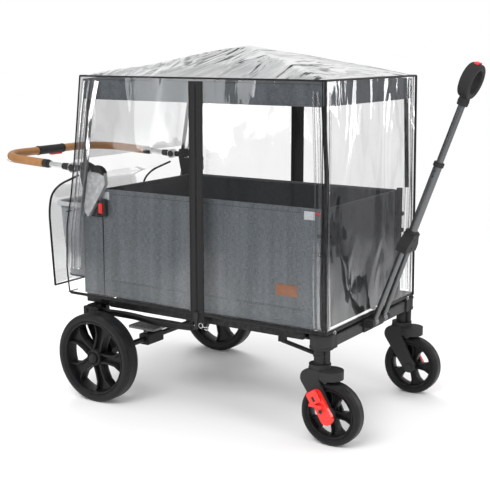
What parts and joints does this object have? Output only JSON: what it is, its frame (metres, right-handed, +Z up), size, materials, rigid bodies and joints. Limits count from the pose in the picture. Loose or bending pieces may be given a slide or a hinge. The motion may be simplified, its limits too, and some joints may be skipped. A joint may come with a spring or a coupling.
{
  "type": "wagon with pull handle",
  "caption": "Folding stroller wagon with fabric tub, canopy, clear rain cover, swivel front casters, large rear wheels, telescoping pull handle and rear push bar.",
  "frame": {"origin": "on the ground below the middle of the tub", "axes": "+X forward towards the pull handle, +Y left, +Z up"},
  "size_m": [1.543, 0.706, 1.064],
  "materials": {
    "rear_tyre": "moulded rubber-like foam, satin",
    "front_tyre": "moulded rubber-like foam, satin",
    "wheel_rim": "black moulded nylon",
    "black_steel": "black powder coat",
    "rail_steel": "dark grey powder coat",
    "black_plastic": "black glass-filled nylon",
    "pedal_grey": "grey textured plastic",
    "red_plastic": "red moulded plastic",
    "heather_fabric": "heather grey polyester",
    "floor_fabric": "dark grey polyester",
    "canopy_fabric": "heather grey polyester, lighter inside",
    "basket_mesh": "grey mesh",
    "bracket_grey": "light grey moulded plastic",
    "clear_film": "clear vinyl film",
    "black_webbing": "black zipper tape",
    "gunmetal_tube": "gunmetal anodised",
    "silver_tube": "satin silver",
    "tan_grip": "tan stitched grip cover"
  },
  "bodies": {
    "rear_frame": {"rear_posts": "heather_fabric", "rear_cross_tubes": "black_steel", "rear_legs": "black_steel", "rear_axle": "black_steel", "brake_housing": "black_plastic", "handle_brackets": "bracket_grey", "bracket_caps": "black_plastic", "tub_rear_wall": "heather_fabric", "tub_side_left": "heather_fabric", "tub_side_right": "heather_fabric", "rear_basket": "basket_mesh", "rear_canopy_bow": "black_steel", "canopy": "canopy_fabric", "canopy_ribs": "black_plastic", "cover_roof": "clear_film", "cover_side_left": "clear_film", "cover_side_right": "clear_film", "cover_rear": "clear_film", "cover_pouch": "clear_film"},
    "front_frame": {"corner_castings": "black_plastic", "front_beam": "black_steel", "front_posts": "black_steel", "front_braces": "black_steel", "handle_mount": "black_plastic", "front_canopy_bow": "black_steel", "tub_front_wall": "heather_fabric", "cover_front": "clear_film"},
    "floor_rear": {"floor_frame_rear": "rail_steel", "floor_pad_rear": "floor_fabric"},
    "floor_front": {"floor_frame_front": "rail_steel", "floor_pad_front": "floor_fabric"},
    "fold_links": {"lower_links": "black_steel"},
    "cover_mid": {"zipper_bands": "black_webbing"},
    "zip_slider_left": {"zipper_slider_left": "black_steel"},
    "zip_slider_right": {"zipper_slider_right": "black_steel"},
    "rear_wheel_left": {"rear_left_tyre": "rear_tyre", "rear_left_rim": "wheel_rim"},
    "rear_wheel_right": {"rear_right_tyre": "rear_tyre", "rear_right_rim": "wheel_rim"},
    "pedal": {"brake_pedal": "pedal_grey"},
    "caster_left": {"caster_fork_left": "black_plastic"},
    "caster_right": {"caster_fork_right": "black_plastic"},
    "front_wheel_left": {"front_left_tyre": "front_tyre", "front_left_rim": "wheel_rim"},
    "front_wheel_right": {"front_right_tyre": "front_tyre", "front_right_rim": "wheel_rim"},
    "lock_left": {"wheel_lock_left": "red_plastic"},
    "lock_right": {"wheel_lock_right": "red_plastic"},
    "pull_lower": {"pull_fork": "gunmetal_tube", "fork_collar": "black_plastic", "lower_pull_tube": "gunmetal_tube"},
    "pull_upper": {"upper_pull_tube": "gunmetal_tube", "pull_grip": "black_plastic"},
    "pull_button": {"grip_button": "red_plastic"},
    "push_handle": {"push_bar": "silver_tube", "push_grip": "tan_grip", "release_housing": "black_plastic"},
    "push_release": {"push_trigger": "red_plastic"},
    "latch_left": {"fold_latch_left": "red_plastic"},
    "latch_right": {"fold_latch_right": "red_plastic"}
  },
  "joints": [
    {"name": "fold", "type": "hinge", "parent": "rear_frame", "child": "floor_rear", "pos_m": [-0.335, 0, 0.285], "axis": [0, -1, 0], "range_deg": [0, 77], "deforming": ["tub_side_left", "tub_side_right", "canopy", "canopy_ribs", "cover_roof", "cover_side_left", "cover_side_right"]},
    {"name": "fold_middle", "type": "hinge", "parent": "floor_rear", "child": "floor_front", "pos_m": [0, 0, 0.275], "axis": [0, -1, 0], "range_deg": [-154, 0]},
    {"name": "fold_front", "type": "hinge", "parent": "floor_front", "child": "front_frame", "pos_m": [0.335, 0, 0.285], "axis": [0, -1, 0], "range_deg": [0, 77]},
    {"name": "fold_link_pivot", "type": "hinge", "parent": "rear_frame", "child": "fold_links", "pos_m": [-0.371, 0, 0.258], "axis": [0, -1, 0], "range_deg": [0, 77]},
    {"name": "cover_gather", "type": "slide", "parent": "rear_frame", "child": "cover_mid", "axis": [-1, 0, 0], "range_m": [0, 0.25]},
    {"name": "zipper_left", "type": "slide", "parent": "cover_mid", "child": "zip_slider_left", "axis": [0, 0, 1], "range_m": [0, 0.62]},
    {"name": "rear_wheel_left_spin", "type": "hinge", "parent": "rear_frame", "child": "rear_wheel_left", "pos_m": [-0.334, 0.324, 0.136], "axis": [0, 1, 0], "continuous": true},
    {"name": "caster_left_swivel", "type": "hinge", "parent": "front_frame", "child": "caster_left", "pos_m": [0.396, 0.262, 0.2], "axis": [0, 0, 1], "continuous": true},
    {"name": "front_wheel_left_spin", "type": "hinge", "parent": "caster_left", "child": "front_wheel_left", "pos_m": [0.436, 0.262, 0.088], "axis": [0, 1, 0], "continuous": true},
    {"name": "wheel_lock_left_slide", "type": "slide", "parent": "caster_left", "child": "lock_left", "axis": [0.5171, 0, -0.8559], "range_m": [0, 0.007]},
    {"name": "fold_latch_left_press", "type": "slide", "parent": "rear_frame", "child": "latch_left", "axis": [0, -1, 0], "range_m": [0, 0.003], "stiffness_N_per_m": 400},
    {"name": "zipper_right", "type": "slide", "parent": "cover_mid", "child": "zip_slider_right", "axis": [0, 0, 1], "range_m": [0, 0.62]},
    {"name": "rear_wheel_right_spin", "type": "hinge", "parent": "rear_frame", "child": "rear_wheel_right", "pos_m": [-0.334, -0.324, 0.136], "axis": [0, 1, 0], "continuous": true},
    {"name": "caster_right_swivel", "type": "hinge", "parent": "front_frame", "child": "caster_right", "pos_m": [0.396, -0.262, 0.2], "axis": [0, 0, 1], "continuous": true},
    {"name": "front_wheel_right_spin", "type": "hinge", "parent": "caster_right", "child": "front_wheel_right", "pos_m": [0.436, -0.262, 0.088], "axis": [0, 1, 0], "continuous": true},
    {"name": "wheel_lock_right_slide", "type": "slide", "parent": "caster_right", "child": "lock_right", "axis": [0.5171, 0, -0.8559], "range_m": [0, 0.007]},
    {"name": "fold_latch_right_press", "type": "slide", "parent": "rear_frame", "child": "latch_right", "axis": [0, 1, 0], "range_m": [0, 0.003], "stiffness_N_per_m": 400},
    {"name": "brake_pedal_tilt", "type": "hinge", "parent": "rear_frame", "child": "pedal", "pos_m": [-0.336, 0, 0.161], "axis": [0, -1, 0], "range_deg": [0, 15]},
    {"name": "pull_handle_tilt", "type": "hinge", "parent": "front_frame", "child": "pull_lower", "pos_m": [0.44, 0, 0.289], "axis": [0, 1, 0], "range_deg": [-14, 60]},
    {"name": "pull_tube_slide", "type": "slide", "parent": "pull_lower", "child": "pull_upper", "axis": [0.3453, 0, 0.9385], "range_m": [-0.14, 0.02]},
    {"name": "grip_button_press", "type": "slide", "parent": "pull_upper", "child": "pull_button", "axis": [-0.3453, 0, -0.9385], "range_m": [0, 0.0035], "stiffness_N_per_m": 400},
    {"name": "push_bar_tilt", "type": "hinge", "parent": "rear_frame", "child": "push_handle", "pos_m": [-0.476, 0, 0.694], "axis": [0, 1, 0], "range_deg": [-60, 60]},
    {"name": "push_release_squeeze", "type": "slide", "parent": "push_handle", "child": "push_release", "axis": [0, 0, 1], "range_m": [0, 0.005], "stiffness_N_per_m": 400}
  ],
  "couplings": [
    {"joint": "fold_middle", "follows": "fold", "ratio": -2},
    {"joint": "fold_front", "follows": "fold", "ratio": 1},
    {"joint": "fold_link_pivot", "follows": "fold", "ratio": 1},
    {"joint": "cover_gather", "follows": "fold", "m_per_rad": 0.18595}
  ]
}
